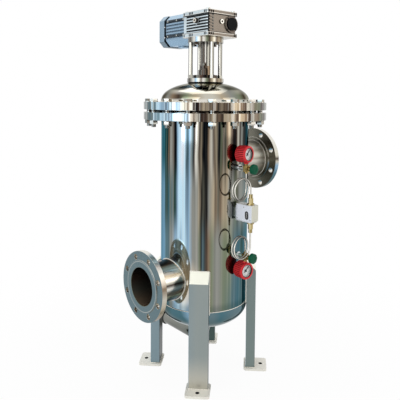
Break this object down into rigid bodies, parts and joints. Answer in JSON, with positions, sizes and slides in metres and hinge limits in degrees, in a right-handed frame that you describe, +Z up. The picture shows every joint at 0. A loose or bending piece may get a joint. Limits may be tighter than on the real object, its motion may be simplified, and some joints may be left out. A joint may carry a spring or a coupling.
{
  "type": "self cleaning filter",
  "caption": "Motor-driven self cleaning water filter: polished vessel on legs, bolted domed cover, flanged inlet and outlet, gauges and pressure switch.",
  "frame": {"origin": "on the floor, on the vessel's axis, at the centre of the four anchor holes", "axes": "+Z up along the vessel, +X toward the outlet flange, -X toward the inlet flange, +Y toward the drain and the motor"},
  "size_m": [0.656, 0.6228, 1.572],
  "materials": {
    "polished_steel": "mirror-polished stainless steel",
    "satin_steel": "machined and satin stainless steel",
    "bright_steel": "ground bright steel",
    "fastener_steel": "plain stainless fasteners",
    "cast_aluminium": "blue-grey cast aluminium",
    "painted_cowl": "pale blue-grey paint",
    "black_plastic": "black moulded plastic",
    "brass": "plain machined brass",
    "bronze": "plain bearing bronze",
    "gasket_rubber": "black sheet gasket",
    "brush_nylon": "natural nylon bristle",
    "green_plastic": "dark green moulded knob",
    "red_rubber": "red ribbed rubber",
    "gauge_steel": "stainless gauge case with a white dial",
    "clear_glass": "clear window",
    "white_paint": "white enamel",
    "dark_paint": "black enamel"
  },
  "bodies": {
    "vessel": {"vessel_shell": "polished_steel", "bottom_head": "polished_steel", "cover_dome": "polished_steel", "inlet_nozzle": "polished_steel", "outlet_nozzle": "polished_steel", "drain_pipe": "polished_steel", "body_flange": "satin_steel", "cover_flange": "satin_steel", "inlet_flange": "satin_steel", "outlet_flange": "satin_steel", "drain_collar": "satin_steel", "leg_inlet_front": "satin_steel", "leg_outlet_front": "satin_steel", "leg_outlet_rear": "satin_steel", "leg_inlet_rear": "satin_steel", "foot_plates": "satin_steel", "screen_seat": "satin_steel", "filter_screen": "satin_steel", "screen_lid": "satin_steel", "lantern_base": "satin_steel", "lantern_top": "satin_steel", "packing_box": "satin_steel", "gland_follower": "satin_steel", "lantern_pillars": "bright_steel", "upper_capillary": "bright_steel", "lower_capillary": "bright_steel", "cover_bolts": "fastener_steel", "cover_nuts": "fastener_steel", "lantern_fasteners": "fastener_steel", "gear_screws": "fastener_steel", "gear_housing": "cast_aluminium", "upper_gear_cover": "cast_aluminium", "lower_gear_cover": "cast_aluminium", "worm_end_cover": "cast_aluminium", "oil_plugs": "cast_aluminium", "motor_housing": "cast_aluminium", "terminal_box": "cast_aluminium", "fan_cowl": "painted_cowl", "worm_bore_cap": "black_plastic", "switch_window": "black_plastic", "valve_bodies": "brass", "switch_fittings": "brass", "shaft_bushes": "bronze", "cover_gasket": "gasket_rubber", "packing_rings": "gasket_rubber", "gauge_boots": "red_rubber", "gauge_cases": "gauge_steel", "gauge_lenses": "clear_glass", "switch_box": "white_paint", "switch_bracket": "dark_paint"},
    "drive": {"drive_shaft": "bright_steel", "brush_frame": "satin_steel", "cleaning_brushes": "brush_nylon", "worm_wheel": "bronze"},
    "rotor": {"worm_shaft": "bright_steel", "cooling_fan": "black_plastic"},
    "upper_knob": {"upper_valve_knob": "green_plastic"},
    "lower_knob": {"lower_valve_knob": "green_plastic"},
    "upper_needle": {"upper_pointer": "black_plastic"},
    "lower_needle": {"lower_pointer": "black_plastic"}
  },
  "joints": [
    {"name": "brush_drive", "type": "hinge", "parent": "vessel", "child": "drive", "pos_m": [0, 0, 1], "axis": [0, 0, 1], "continuous": true},
    {"name": "motor_spin", "type": "hinge", "parent": "vessel", "child": "rotor", "pos_m": [0.063, 0, 1.499], "axis": [0, 1, 0], "continuous": true},
    {"name": "upper_valve_turn", "type": "hinge", "parent": "vessel", "child": "upper_knob", "pos_m": [0.01814, -0.25937, 0.902], "axis": [0.0698, -0.9976, 0], "range_deg": [-720, 180]},
    {"name": "lower_valve_turn", "type": "hinge", "parent": "vessel", "child": "lower_knob", "pos_m": [0.01814, -0.25937, 0.54], "axis": [0.0698, -0.9976, 0], "range_deg": [-720, 180]},
    {"name": "upper_gauge_reading", "type": "hinge", "parent": "vessel", "child": "upper_needle", "pos_m": [0.01688, -0.24141, 0.96], "axis": [0.1736, -0.9848, 0], "range_deg": [-93, 177]},
    {"name": "lower_gauge_reading", "type": "hinge", "parent": "vessel", "child": "lower_needle", "pos_m": [0.01688, -0.24141, 0.482], "axis": [-0.0523, -0.9986, 0], "range_deg": [-90, 180]}
  ],
  "couplings": [
    {"joint": "motor_spin", "follows": "brush_drive", "ratio": 40}
  ]
}
